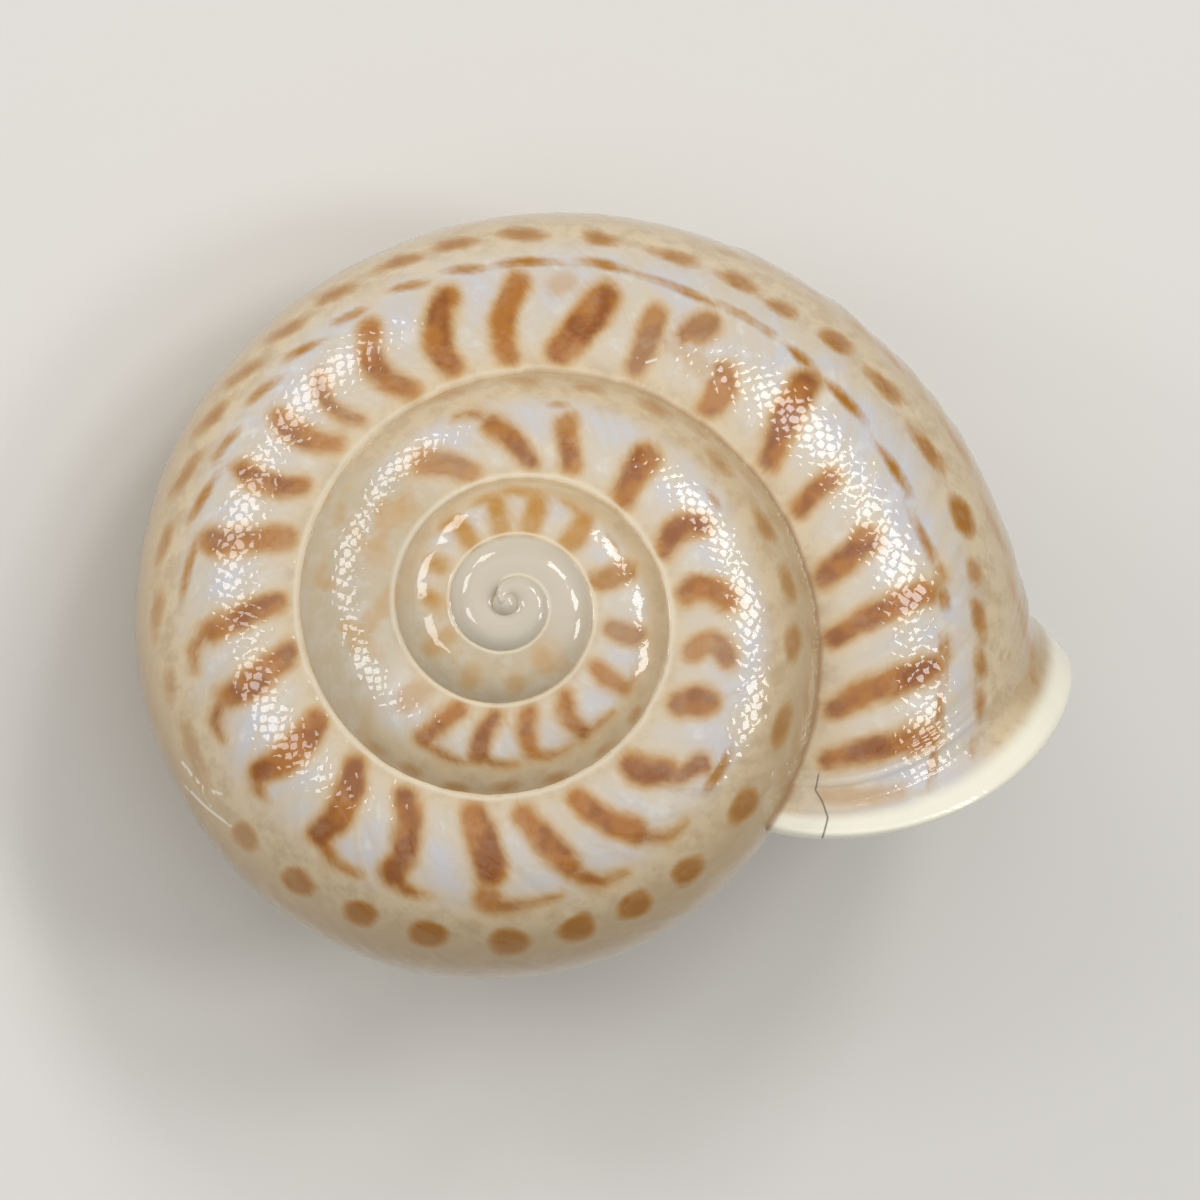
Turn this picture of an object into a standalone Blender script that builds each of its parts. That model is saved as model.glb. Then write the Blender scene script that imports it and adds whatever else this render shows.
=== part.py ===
"""Land snail shell: one hollow, right-handed spiral that rests on its base.

Metres, +Z up. The wall is lofted along the growth spiral, about the shell's own axis,
and the finished shell is then laid down the way it rests on a floor.
"""
import math
from functools import lru_cache

import bmesh
import bpy
import numpy as np
from mathutils import Matrix, Vector

MM = 0.001

# Growth: distance of the whorl's outermost edge from the axis, by whorls grown.
RADIUS_TURNS = (0.0, 0.25, 0.5, 1.5, 2.5, 3.5, 3.75, 4.0, 4.25, 4.5, 4.65)
RADIUS_MM = (0.3, 0.65, 1.1, 2.37, 4.65, 8.53, 9.5, 10.84, 12.55, 14.32, 15.1)
LAST_TURN = 4.61            # whorls grown at the suture end of the lip

# Where a whorl is attached to the one before: degrees above that whorl's outermost edge.
SEAM_TURNS = (0.0, 2.5, 3.5, 4.05, 4.33, 4.61, 4.75)
SEAM_DEG = (24.0, 24.0, 30.0, 33.0, 26.0, 7.0, 3.0)

# A whorl's cross-section, as fractions of its radius from the axis.
HALF_WIDTH = 0.485
HALF_TOP = 0.40
HALF_BASE = 0.42
ROUNDNESS = 2.15            # 2 is an ellipse, more is squarer
BASE_ROUNDNESS = 2.6        # inner part of the base
TIP_SINK = 0.62             # depth of the first whorl's edge below the tip, per radius
TIP_SETTLES_TURN = 0.5      # part of the second whorl that passes from this depth to the seam's

WALL_MM = 0.12              # thickness of the wall at the tip
WALL_GROWTH = 0.032         # extra thickness for each millimetre of radius

# The lip: how far its lower part lags behind its suture end, and how it turns outwards.
LIP_LAG_DEG = 46.0
LIP_LAG_FROM_DEG = 85.0
LIP_LAG_SPAN_DEG = 130.0
LIP_LAG_POWER = 1.25
FLARE_MM = 1.1              # how far outwards
FLARE_TURN = 0.02           # over this last part of the growth
LIP_EXTRA_MM = 0.35         # how much thicker than the wall
FLARE_SUTURE_DEG = (35.0, 95.0)      # the turned edge fades out between these, towards the suture
FLARE_PILLAR_DEG = (-140.0, -200.0)  # and between these, towards the pillar

# The tip is solid, and each hollow whorl's edges are sunk into the whorl before.
NUCLEUS_MM = 0.5            # radius of the rounded first bud of shell
HOLLOW_FROM_TURN = 1.5      # the tip is solid up to here
TIP_OVERLAP_TURN = 0.1      # how far the solid tip reaches into the hollow wall
TIP_INSET_MM = 0.03         # and how much thinner it is there
TIP_BURIAL = 0.2            # depth of a whorl's edge in the solid tip, per radius
TIP_BURIAL_TO_TURN = 1.0    # and that depth passes to the hollow whorls' from here
WALL_BURIAL = 0.5           # depth of a whorl's edge in a hollow whorl, per wall thickness
TOP_SEARCH_DEG = 70.0       # where the search for the buried edge starts on the top side
BASE_SEARCH_DEG = -150.0    # and on the base side
SEARCH_STEP_DEG = 0.5
SEARCH_STEPS = 400

# Fineness.
LONGEST_STRETCH = 0.8       # longest piece of wall lofted at a time, in whorls
JOINT_OVERLAP_TURN = 0.015  # each starts this far inside the one before
JOINT_INSET_MM = 0.02       # and this much thinner
ARC_POINTS = 17             # points across the wall's outer side, and across its inner side
RING_POINTS = 14            # points round the solid tip
TIP_STEPS = 28
EARLY_STEPS = 40
LATE_FROM_TURN = 3.45
LATE_STEPS = 48
FLARE_STEPS = 4
PILLAR_SEGMENTS = 12
NUCLEUS_SUBDIVISIONS = 2
CALLUS_SEGMENTS = 18
CALLUS_RINGS = 10
SHARP_DEG = 35.0

# The pillar fills the narrow navel, and a slanting pad of shell covers its foot.
PILLAR_TOP_MM = -2.5
PILLAR_FOOT_MM = -12.4
PILLAR_TOP_RADIUS_MM = 0.3
PILLAR_FOOT_RADIUS_MM = 1.3
CALLUS_MM = (3.2, 2.7, 1.6)
CALLUS_AT_MM = (0.45, 0.1, -12.0)
CALLUS_TILT_DEG = 33.0

WORN_MM = 0.22              # depth worn off flat where the shell stands
BASE_FACES = -0.5           # it stands on a hull face whose normal points down at least this much

SHELL_COLOUR = (0.62, 0.50, 0.38, 1.0)
SHELL_ROUGHNESS = 0.3


def smooth_through(stations, values, at):
    """Value at a place on a smooth curve through the stations that never overshoots."""
    x = np.asarray(stations, dtype=float)
    y = np.asarray(values, dtype=float)
    step = np.diff(x)
    rise = np.diff(y) / step
    slope = np.zeros(len(x))
    slope[0] = rise[0]
    slope[-1] = rise[-1]
    for i in range(1, len(x) - 1):
        if rise[i - 1] * rise[i] > 0.0:
            slope[i] = 2.0 * rise[i - 1] * rise[i] / (rise[i - 1] + rise[i])
    at = min(max(at, x[0]), x[-1])
    i = int(min(np.searchsorted(x, at, side="right") - 1, len(step) - 1))
    t = (at - x[i]) / step[i]
    return ((1 + 2 * t) * (1 - t) ** 2 * y[i] + t * (1 - t) ** 2 * step[i] * slope[i]
            + t * t * (3 - 2 * t) * y[i + 1] + t * t * (t - 1) * step[i] * slope[i + 1])


def ease(value):
    value = min(max(value, 0.0), 1.0)
    return value * value * (3.0 - 2.0 * value)


def radius(turn):
    """Distance of the whorl's outermost edge from the axis."""
    logs = np.log(RADIUS_MM)
    if turn < RADIUS_TURNS[0]:
        return RADIUS_MM[0] * MM
    return math.exp(smooth_through(RADIUS_TURNS, logs, turn)) * MM


def wall(turn):
    return WALL_MM * MM + WALL_GROWTH * radius(turn)


def power_point(angle, roundness):
    """Unit cross-section point at an angle, for a given squareness."""
    c = math.cos(angle)
    s = math.sin(angle)
    return (math.copysign(abs(c) ** (2.0 / roundness), c),
            math.copysign(abs(s) ** (2.0 / roundness), s))


def roundness_at(angle):
    """The inner part of the base is squarer than the rest of the whorl."""
    inner_base = max(0.0, -math.sin(angle)) * max(0.0, -math.cos(angle)) * 2.0
    return ROUNDNESS + (BASE_ROUNDNESS - ROUNDNESS) * inner_base


def half_height(angle):
    return HALF_TOP if math.sin(angle) > 0.0 else HALF_BASE


def section_point(turn, angle, inset=0.0):
    """Distance from the axis and height of a point on the whorl's cross-section."""
    r = radius(turn)
    across, up = power_point(angle, roundness_at(angle))
    out = r * (1.0 - HALF_WIDTH) + (HALF_WIDTH * r - inset) * across
    height = edge_height(turn) + (half_height(angle) * r - inset) * up
    return out, height


@lru_cache(maxsize=None)
def edge_height(turn):
    """Height of the whorl's outermost edge, so that its top meets the whorl before at the seam."""
    r = radius(turn)
    tip_height = -TIP_SINK * r
    if turn < 1.0:
        return tip_height
    seam = math.radians(smooth_through(SEAM_TURNS, SEAM_DEG, turn))
    out, height = section_point(turn - 1.0, seam)
    across = (out - r * (1.0 - HALF_WIDTH)) / (HALF_WIDTH * r)
    across = min(abs(across), 1.0)
    seam_height = height - HALF_TOP * r * (1.0 - across ** ROUNDNESS) ** (1.0 / ROUNDNESS)
    return tip_height + (seam_height - tip_height) * ease((turn - 1.0) / TIP_SETTLES_TURN)


def is_inside(turn, out, height, inset):
    """Whether a point of an axial plane lies inside the whorl drawn in by the inset."""
    r = radius(turn)
    across = (out - r * (1.0 - HALF_WIDTH)) / (HALF_WIDTH * r - inset)
    rise = height - edge_height(turn)
    up = rise / ((HALF_TOP if rise > 0.0 else HALF_BASE) * r - inset)
    power = roundness_at(math.atan2(up, across))
    return abs(across) ** power + abs(up) ** power < 1.0


def lag(angle):
    """How far a point of the growing edge lags behind its suture end, in whorls."""
    reach = (math.radians(LIP_LAG_FROM_DEG) - angle) / math.radians(LIP_LAG_SPAN_DEG)
    reach = min(max(reach, 0.0), 1.0)
    return LIP_LAG_DEG / 360.0 * math.sin(0.5 * math.pi * reach) ** LIP_LAG_POWER


def burial(turn):
    """How deep the edge of the next whorl sinks into this one."""
    hollow = ease((turn - TIP_BURIAL_TO_TURN) / (HOLLOW_FROM_TURN - TIP_BURIAL_TO_TURN))
    return TIP_BURIAL * radius(turn) * (1.0 - hollow) + WALL_BURIAL * wall(turn) * hollow


def buried_angle(turn, start_deg, step_deg, inset):
    """Follow the cross-section from a start angle until it is sunk in the older whorl."""
    angle = math.radians(start_deg)
    for _ in range(SEARCH_STEPS):
        local = turn - lag(angle)
        out, height = section_point(local, angle, inset)
        if is_inside(local - 1.0, out, height, burial(local - 1.0)):
            break
        angle += math.radians(step_deg)
    return angle


def flare(turn, angle):
    """How far the lip is turned outwards: none at the suture, none at the pillar."""
    grown = ease((turn - LAST_TURN + FLARE_TURN) / FLARE_TURN)
    degrees = math.degrees(angle)
    suture_side = ease((FLARE_SUTURE_DEG[1] - degrees) / (FLARE_SUTURE_DEG[1] - FLARE_SUTURE_DEG[0]))
    pillar_side = ease((degrees - FLARE_PILLAR_DEG[1]) / (FLARE_PILLAR_DEG[0] - FLARE_PILLAR_DEG[1]))
    return grown * suture_side * pillar_side


def place(turn, angle, inset=0.0):
    """Point on the wall in the shell's own frame, with the spiral turning clockwise from above."""
    out, height = section_point(turn, angle, inset)
    bearing = math.pi - 2.0 * math.pi * turn
    return Vector((out * math.cos(bearing), out * math.sin(bearing), height))


def wall_section(turn, drawn_in):
    """Closed C-shaped section of the wall: along its outer side and back along its inner side."""
    points = []
    for side in (0, 1):
        rest = wall(turn) if side else 0.0
        first = buried_angle(turn, TOP_SEARCH_DEG, SEARCH_STEP_DEG, rest)
        last = buried_angle(turn, BASE_SEARCH_DEG, -SEARCH_STEP_DEG, rest)
        angles = np.linspace(first, last, ARC_POINTS)
        for angle in (angles[::-1] if side else angles):
            turned = flare(turn, angle)
            depth = (wall(turn) + LIP_EXTRA_MM * MM * turned - drawn_in) if side else drawn_in
            points.append(place(turn - lag(angle), angle, depth - FLARE_MM * MM * turned))
    return points


def tip_section(turn, drawn_in):
    """Full round section of the solid tip, drawn in slightly where the hollow wall begins."""
    inset = TIP_INSET_MM * MM * ease((turn - HOLLOW_FROM_TURN + TIP_OVERLAP_TURN) / TIP_OVERLAP_TURN)
    angles = np.linspace(0.0, -2.0 * math.pi, RING_POINTS, endpoint=False)
    return [place(turn, angle, inset + drawn_in) for angle in angles]


def solid(name, bm):
    mesh = bpy.data.meshes.new(name)
    bm.to_mesh(mesh)
    bm.free()
    return bpy.data.objects.new(name, mesh)


def loft(name, sections):
    """Closed solid through sections that have the same number of points."""
    bm = bmesh.new()
    rings = [[bm.verts.new(point) for point in section] for section in sections]
    for before, after in zip(rings, rings[1:]):
        for i in range(len(before)):
            j = (i + 1) % len(before)
            bm.faces.new((before[i], before[j], after[j], after[i]))
    for ring in (rings[0], rings[-1]):
        half = len(ring) // 2
        for i in range(half - 1):
            bm.faces.new((ring[i], ring[i + 1], ring[-2 - i], ring[-1 - i]))
    bmesh.ops.triangulate(bm, faces=bm.faces[:])
    bmesh.ops.recalc_face_normals(bm, faces=bm.faces[:])
    return solid(name, bm)


def stretches(name, section, turns):
    """Loft along the spiral in stretches too short to touch themselves.

    Each stretch starts inside the one before it, drawn in a little so no faces coincide.
    """
    count = math.ceil((turns[-1] - turns[0]) / LONGEST_STRETCH)
    cuts = np.linspace(0, len(turns) - 1, count + 1).round().astype(int)
    solids = [loft(name, [section(turn, 0.0) for turn in turns[:cuts[1] + 1]])]
    for first, last in zip(cuts[1:], cuts[2:]):
        start = section(turns[first] - JOINT_OVERLAP_TURN, JOINT_INSET_MM * MM)
        solids.append(loft(name, [start] + [section(turn, 0.0) for turn in turns[first + 1:last + 1]]))
    return solids


def evaluated_copy(source, name):
    """New mesh holding what the object's modifiers make of it."""
    graph = bpy.context.evaluated_depsgraph_get()
    mesh = bpy.data.meshes.new_from_object(source.evaluated_get(graph))
    mesh.name = name
    return mesh


def centre_of_mass(mesh):
    """Centre of the solid wall, summed over tetrahedra from the frame's origin to each triangle."""
    mesh.calc_loop_triangles()
    moment = Vector((0.0, 0.0, 0.0))
    volume = 0.0
    for triangle in mesh.loop_triangles:
        a, b, c = (mesh.vertices[i].co for i in triangle.vertices)
        part = a.dot(b.cross(c)) / 6.0
        moment += part * (a + b + c) / 4.0
        volume += part
    return moment / volume


def holds(face, point, normal):
    """Whether a point in the face's plane lies between its edges."""
    corners = [vertex.co for vertex in face.verts]
    sides = [(after - before).cross(point - before).dot(normal)
             for before, after in zip(corners, corners[1:] + corners[:1])]
    return min(sides) >= 0.0 or max(sides) <= 0.0


def resting_turn(mesh):
    """Rotation that stands the shell, tip up, on the hull face where its weight is lowest."""
    centre = centre_of_mass(mesh)
    bm = bmesh.new()
    for vertex in mesh.vertices:
        bm.verts.new(vertex.co)
    bmesh.ops.convex_hull(bm, input=bm.verts[:])
    lowest = None
    for face in bm.faces:
        normal = face.normal.copy()
        height = (face.verts[0].co - centre).dot(normal)
        if height < 0.0:
            normal.negate()
            height = -height
        if normal.z > BASE_FACES or not holds(face, centre + normal * height, normal):
            continue
        if lowest is None or height < lowest[0]:
            lowest = (height, normal)
    bm.free()
    return lowest[1].rotation_difference(Vector((0.0, 0.0, -1.0))).to_matrix().to_4x4()


def laid_down(mesh):
    """Turn the shell onto its resting face, with the origin under the middle of its box."""
    mesh.transform(resting_turn(mesh))
    floor = min(vertex.co.z for vertex in mesh.vertices) + WORN_MM * MM
    for vertex in mesh.vertices:
        vertex.co.z = max(vertex.co.z, floor)
    spots = np.array([vertex.co for vertex in mesh.vertices])
    low = spots.min(axis=0)
    high = spots.max(axis=0)
    middle = (low + high) / 2.0
    mesh.transform(Matrix.Translation((-middle[0], -middle[1], -low[2])))


def wall_turns():
    """Places along the spiral where the wall gets a section, closer together towards the lip."""
    flare_from = LAST_TURN - FLARE_TURN
    early = np.linspace(HOLLOW_FROM_TURN, LATE_FROM_TURN, EARLY_STEPS, endpoint=False)
    late = np.linspace(LATE_FROM_TURN, flare_from, LATE_STEPS, endpoint=False)
    turned = np.linspace(flare_from, LAST_TURN, FLARE_STEPS)
    return [float(turn) for turn in (*early, *late, *turned)]


def tip_turns():
    return [float(turn) for turn in np.linspace(0.0, HOLLOW_FROM_TURN + TIP_OVERLAP_TURN, TIP_STEPS)]


def pillar():
    """Column down the axis, wider towards the base, that the whorls wind round."""
    bm = bmesh.new()
    length = (PILLAR_TOP_MM - PILLAR_FOOT_MM) * MM
    middle = 0.5 * (PILLAR_TOP_MM + PILLAR_FOOT_MM) * MM
    bmesh.ops.create_cone(bm, cap_ends=True, segments=PILLAR_SEGMENTS, depth=length,
                          radius1=PILLAR_FOOT_RADIUS_MM * MM, radius2=PILLAR_TOP_RADIUS_MM * MM)
    bmesh.ops.translate(bm, vec=(0.0, 0.0, middle), verts=bm.verts[:])
    return solid("pillar", bm)


def nucleus():
    """Rounded bud at the very tip, where the spiral begins."""
    bm = bmesh.new()
    bmesh.ops.create_icosphere(bm, subdivisions=NUCLEUS_SUBDIVISIONS, radius=NUCLEUS_MM * MM)
    bmesh.ops.translate(bm, vec=(0.0, 0.0, -NUCLEUS_MM * MM), verts=bm.verts[:])
    return solid("nucleus", bm)


def callus():
    """Pad of shell over the navel at the pillar's foot."""
    bm = bmesh.new()
    bmesh.ops.create_uvsphere(bm, u_segments=CALLUS_SEGMENTS, v_segments=CALLUS_RINGS, radius=MM)
    bmesh.ops.scale(bm, vec=CALLUS_MM, verts=bm.verts[:])
    tilt = Matrix.Rotation(math.radians(CALLUS_TILT_DEG), 3, "Y")
    bmesh.ops.rotate(bm, cent=(0.0, 0.0, 0.0), matrix=tilt, verts=bm.verts[:])
    bmesh.ops.translate(bm, vec=Vector(CALLUS_AT_MM) * MM, verts=bm.verts[:])
    return solid("callus", bm)


def fill_voids(mesh):
    """Fill the tiny voids sealed between whorls: only the largest closed surface stays."""
    bm = bmesh.new()
    bm.from_mesh(mesh)
    left = set(bm.verts)
    surfaces = []
    while left:
        front = [left.pop()]
        surface = list(front)
        while front:
            vertex = front.pop()
            near = [edge.other_vert(vertex) for edge in vertex.link_edges]
            fresh = [other for other in near if other in left]
            left.difference_update(fresh)
            front += fresh
            surface += fresh
        surfaces.append(surface)
    surfaces.sort(key=len)
    for surface in surfaces[:-1]:
        bmesh.ops.delete(bm, geom=surface, context="VERTS")
    bm.to_mesh(mesh)
    bm.free()


def joined(name, solids):
    """All the solids grown into one wall.

    The exact solver leaves holes where a stretch of wall ends inside the one before it,
    so these unions use the manifold solver.
    """
    body = solids[0]
    for piece in solids[1:]:
        union = body.modifiers.new(piece.name, "BOOLEAN")
        union.operation = "UNION"
        union.solver = "MANIFOLD"
        union.object = piece
    mesh = evaluated_copy(body, name)
    fill_voids(mesh)
    return mesh


def shell_material():
    material = bpy.data.materials.new("shell")
    material.use_nodes = True
    surface = material.node_tree.nodes["Principled BSDF"]
    surface.inputs["Base Color"].default_value = SHELL_COLOUR
    surface.inputs["Roughness"].default_value = SHELL_ROUGHNESS
    surface.inputs["Metallic"].default_value = 0.0
    return material


def build():
    for old in list(bpy.data.objects):
        bpy.data.objects.remove(old)
    scene = bpy.context.scene
    parts = bpy.data.collections.new("land_snail_shell")
    cutters = bpy.data.collections.new("cutters")
    scene.collection.children.link(parts)
    scene.collection.children.link(cutters)

    solids = stretches("wall", wall_section, wall_turns())
    solids += stretches("tip", tip_section, tip_turns())
    solids += [nucleus(), pillar(), callus()]
    for piece in solids:
        cutters.objects.link(piece)
        piece.hide_render = True
        piece.display_type = "WIRE"

    mesh = joined("shell", solids)
    laid_down(mesh)
    mesh.materials.clear()
    mesh.materials.append(shell_material())
    mesh.shade_smooth()
    mesh.set_sharp_from_angle(angle=math.radians(SHARP_DEG))
    parts.objects.link(bpy.data.objects.new("shell", mesh))


build()
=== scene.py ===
import math
import random

import bmesh
import bpy
import numpy as np
from mathutils import Matrix, Vector


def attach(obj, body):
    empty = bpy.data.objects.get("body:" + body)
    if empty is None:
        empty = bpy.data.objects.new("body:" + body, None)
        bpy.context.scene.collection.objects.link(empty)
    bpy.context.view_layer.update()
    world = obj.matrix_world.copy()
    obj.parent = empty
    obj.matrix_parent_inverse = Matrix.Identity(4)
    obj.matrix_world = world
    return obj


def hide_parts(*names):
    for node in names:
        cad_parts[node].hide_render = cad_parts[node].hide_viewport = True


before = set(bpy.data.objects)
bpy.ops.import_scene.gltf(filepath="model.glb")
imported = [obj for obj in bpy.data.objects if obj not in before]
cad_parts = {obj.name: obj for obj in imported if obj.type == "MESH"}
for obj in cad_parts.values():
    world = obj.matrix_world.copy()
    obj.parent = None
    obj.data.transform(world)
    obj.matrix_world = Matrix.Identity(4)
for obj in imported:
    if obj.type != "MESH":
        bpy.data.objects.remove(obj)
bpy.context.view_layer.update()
mm = 0.001
fullTurn = 2 * math.pi


# growth of the shell: turns are whorls grown, from the tip to the lip
growth = dict(
    turns=(0.0, 0.25, 0.5, 1.5, 2.5, 3.5, 3.75, 4.0, 4.25, 4.5, 4.65),
    radiusMm=(0.3, 0.65, 1.1, 2.37, 4.65, 8.53, 9.5, 10.84, 12.55, 14.32, 15.1),
    lastTurn=4.61,
    seamTurns=(0.0, 2.5, 3.5, 4.05, 4.33, 4.61, 4.75),
    seamDeg=(24.0, 24.0, 30.0, 33.0, 26.0, 7.0, 3.0),  # a whorl starts this far above the older one's edge
    firstSeamDeg=(165.0, 119.5),  # round the very first bud, and where the first whorl meets it
    halfWidth=0.485,
    halfTop=0.40,
    halfBase=0.42,
    roundness=2.15,
    baseRoundness=2.6,
    tipSink=0.62,
    wallMm=0.12,
    wallGrowth=0.032,
    lagDeg=46.0,  # the lip's lower end lags this far behind its upper end
    lagFromDeg=85.0,  # the lag starts here on the section and is whole after the next value
    lagOverDeg=130.0,
    lagBend=1.25,
    tipBurial=0.2,  # depth of a whorl's edge in the solid tip, per radius
    wallBurial=0.5,  # and in a hollow whorl, per wall thickness
    sunkTopDeg=60.0,  # a buried edge is looked for above this on the section, and below the next
    sunkBaseDeg=-150.0,
    freeBaseDeg=-186.0,  # the base's end where there is no older whorl
    budDeg=(172.0, -187.9),  # the first bud's section runs all round between these
    flareMm=1.1,
    flareTurn=0.02,
    flareTopDeg=95.0,  # the lip's turned edge fades out towards the seam and towards the pillar
    flareBaseDeg=-200.0,
    flareFadeDeg=60.0,
    lipExtraMm=0.35,
    smoothTurn=0.12,
)

# how the shell lies: down direction about its own axis, and the step that puts it on the floor
rest = dict(down=(-0.36977, 0.140356, -0.918461), shiftMm=(-5.3033, -0.5248, 13.7088))

relief = dict(
    threadMm=0.045,  # raised thread along the seam
    threadAtMm=0.14,  # from the seam
    threadWidthMm=0.1,
    threadEndsTurn=4.25,
    lineMm=0.012,  # growth ridges
    dentMm=0.035,  # slow unevenness
    lipGroovesMm=(0.55, 0.8),
    lipGrooveDeepMm=0.04,
    lipGrooveWideMm=0.09,
    flakes=((4.425, 0.09), (4.46, 0.1), (4.492, 0.06)),  # older edges of the lip on the outer side: turn, mm
    outerColumns=128,
    innerColumns=34,
    rows=((0.0, 1.0, 56), (1.0, 2.5, 104), (2.5, 3.5, 104), (3.5, 4.57, 286)),  # from turn, to turn, rows
    lipRows=24,
    rimRows=6,
    fullSizeMm=12.0,  # a whorl of this radius has the full relief
    leastSize=0.12,
    trackSteps=40000,
    seed=4,
)


def ease(value):
    value = np.clip(value, 0.0, 1.0)
    return value * value * (3.0 - 2.0 * value)


def smoothThrough(stations, values, at):
    x = np.asarray(stations, dtype=float)
    y = np.asarray(values, dtype=float)
    step = np.diff(x)
    rise = np.diff(y) / step
    product = rise[:-1] * rise[1:]
    middle = np.where(product > 0, 2 * product / (rise[:-1] + rise[1:] + 1e-12), 0.0)
    slope = np.concatenate(([rise[0]], middle, [rise[-1]]))
    at = np.clip(at, x[0], x[-1])
    i = np.clip(np.searchsorted(x, at, side="right") - 1, 0, len(step) - 1)
    t = (at - x[i]) / step[i]
    return ((1 + 2 * t) * (1 - t) ** 2 * y[i] + t * (1 - t) ** 2 * step[i] * slope[i]
            + t * t * (3 - 2 * t) * y[i + 1] + t * t * (t - 1) * step[i] * slope[i + 1])


samplesPerTurn = 720
turnGrid = np.arange(-0.5 * samplesPerTurn, 4.9 * samplesPerTurn) / samplesPerTurn


def smoothed(values, width):
    half = int(width * samplesPerTurn)
    window = np.hanning(2 * half + 1)
    padded = np.concatenate((np.full(half, values[0]), values, np.full(half, values[-1])))
    return np.convolve(padded, window / window.sum(), mode="valid")


radiusGrid = np.exp(smoothed(smoothThrough(growth["turns"], np.log(growth["radiusMm"]), turnGrid),
                             growth["smoothTurn"] / 2)) * mm
heightGrid = -growth["tipSink"] * radiusGrid


def radius(turn):
    return np.interp(turn, turnGrid, radiusGrid)


def edgeHeight(turn):
    return np.interp(turn, turnGrid, heightGrid)


def wall(turn):
    return np.minimum(growth["wallMm"] * mm + growth["wallGrowth"] * radius(turn), 0.3 * radius(turn))


def roundnessAt(angle):
    innerBase = np.maximum(0.0, -np.sin(angle)) * np.maximum(0.0, -np.cos(angle)) * 2.0
    return growth["roundness"] + (growth["baseRoundness"] - growth["roundness"]) * innerBase


def sectionPoint(turn, angle, inset):
    r = radius(turn)
    power = 2.0 / roundnessAt(angle)
    c = np.cos(angle)
    s = np.sin(angle)
    halfHeight = np.where(s > 0, growth["halfTop"], growth["halfBase"])
    across = np.sign(c) * np.abs(c) ** power
    up = np.sign(s) * np.abs(s) ** power
    out = r * (1.0 - growth["halfWidth"]) + (growth["halfWidth"] * r - inset) * across
    return out, edgeHeight(turn) + (halfHeight * r - inset) * up


def isInside(turn, out, height, inset):
    r = radius(turn)
    across = (out - r * (1.0 - growth["halfWidth"])) / (growth["halfWidth"] * r - inset)
    rise = height - edgeHeight(turn)
    up = rise / (np.where(rise > 0, growth["halfTop"], growth["halfBase"]) * r - inset)
    power = roundnessAt(np.arctan2(up, across))
    return np.abs(across) ** power + np.abs(up) ** power < 1.0


def findHeights():
    for whorl in range(1, 5):
        inWhorl = np.where((turnGrid >= whorl) & (turnGrid < whorl + 1))[0]
        turn = turnGrid[inWhorl]
        r = radiusGrid[inWhorl]
        seam = np.radians(smoothThrough(growth["seamTurns"], growth["seamDeg"], turn))
        out, height = sectionPoint(turn - 1.0, seam, 0.0)
        across = np.minimum(np.abs((out - r * (1.0 - growth["halfWidth"])) / (growth["halfWidth"] * r)), 1.0)
        power = growth["roundness"]
        seamHeight = height - growth["halfTop"] * r * (1.0 - across ** power) ** (1.0 / power)
        tipHeight = -growth["tipSink"] * r
        heightGrid[inWhorl] = tipHeight + (seamHeight - tipHeight) * ease((turn - 1.0) / 0.5)


findHeights()


def lag(angle):
    below = math.radians(growth["lagFromDeg"]) - angle
    reach = np.clip(below / math.radians(growth["lagOverDeg"]), 0.0, 1.0)
    return growth["lagDeg"] / 360.0 * np.sin(0.5 * math.pi * reach) ** growth["lagBend"]


def flare(turn, angle):
    degrees = np.degrees(angle)
    grown = ease((turn - growth["lastTurn"] + growth["flareTurn"]) / growth["flareTurn"])
    fade = growth["flareFadeDeg"]
    top = ease((growth["flareTopDeg"] - degrees) / fade)
    base = ease((degrees - growth["flareBaseDeg"]) / fade)
    return grown * top * base


fineAngles = np.radians(np.arange(178.0, -216.0, -0.5))


# section angles where a row of the wall sinks into the older whorl, at its top and at its base
def sunkFrom(turn, inset):
    local = turn - lag(fineAngles)
    out, height = sectionPoint(local, fineAngles, inset)
    older = local - 1.0
    hollow = ease((older - 1.0) / 0.5)
    inTip = growth["tipBurial"] * radius(older)
    depth = inTip * (1.0 - hollow) + growth["wallBurial"] * wall(older) * hollow
    inside = isInside(older, out, height, depth)
    degrees = np.degrees(fineAngles)
    top = np.where(inside & (degrees >= growth["sunkTopDeg"]))[0]
    base = np.where(inside & (degrees <= growth["sunkBaseDeg"]))[0]
    budTop, budBase = growth["budDeg"]
    first = degrees[top[-1]] if len(top) else budTop
    last = degrees[base[0]] if len(base) else growth["freeBaseDeg"]
    whole = 1.0 - ease((turn - 0.85) / 0.3)
    return first + (budTop - first) * whole, last + (budBase - last) * whole


# section angles of one row, evenly spaced but closer together beside the seam
def rowAngles(turn, inset, columns, seamDeg=None):
    first, last = sunkFrom(turn, inset)
    fine = np.radians(np.linspace(first, last, 500))
    out, height = sectionPoint(turn - lag(fine), fine, inset)
    length = np.concatenate(([0.0], np.cumsum(np.hypot(np.diff(out), np.diff(height)))))
    if seamDeg is None:
        return np.interp(np.linspace(0.0, length[-1], columns), length, fine), None
    seamAt = np.interp(-math.radians(min(seamDeg, first - 0.5)), -fine, length)
    hidden = np.linspace(0.0, seamAt, 5)[:-1]
    shown = seamAt + (length[-1] - seamAt) * np.linspace(0.0, 1.0, columns - 4) ** 1.22
    wanted = np.concatenate((hidden, shown))
    return np.interp(wanted, length, fine), wanted - seamAt


print("growth worked out")


def layDown(points):
    turnDown = Vector(rest["down"]).rotation_difference(Vector((0.0, 0.0, -1.0))).to_matrix()
    laid = points @ np.array(turnDown).T + np.array(rest["shiftMm"]) * mm
    laid[:, 2] = np.maximum(laid[:, 2], 0.0)  # worn flat where it stands
    return laid


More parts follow.
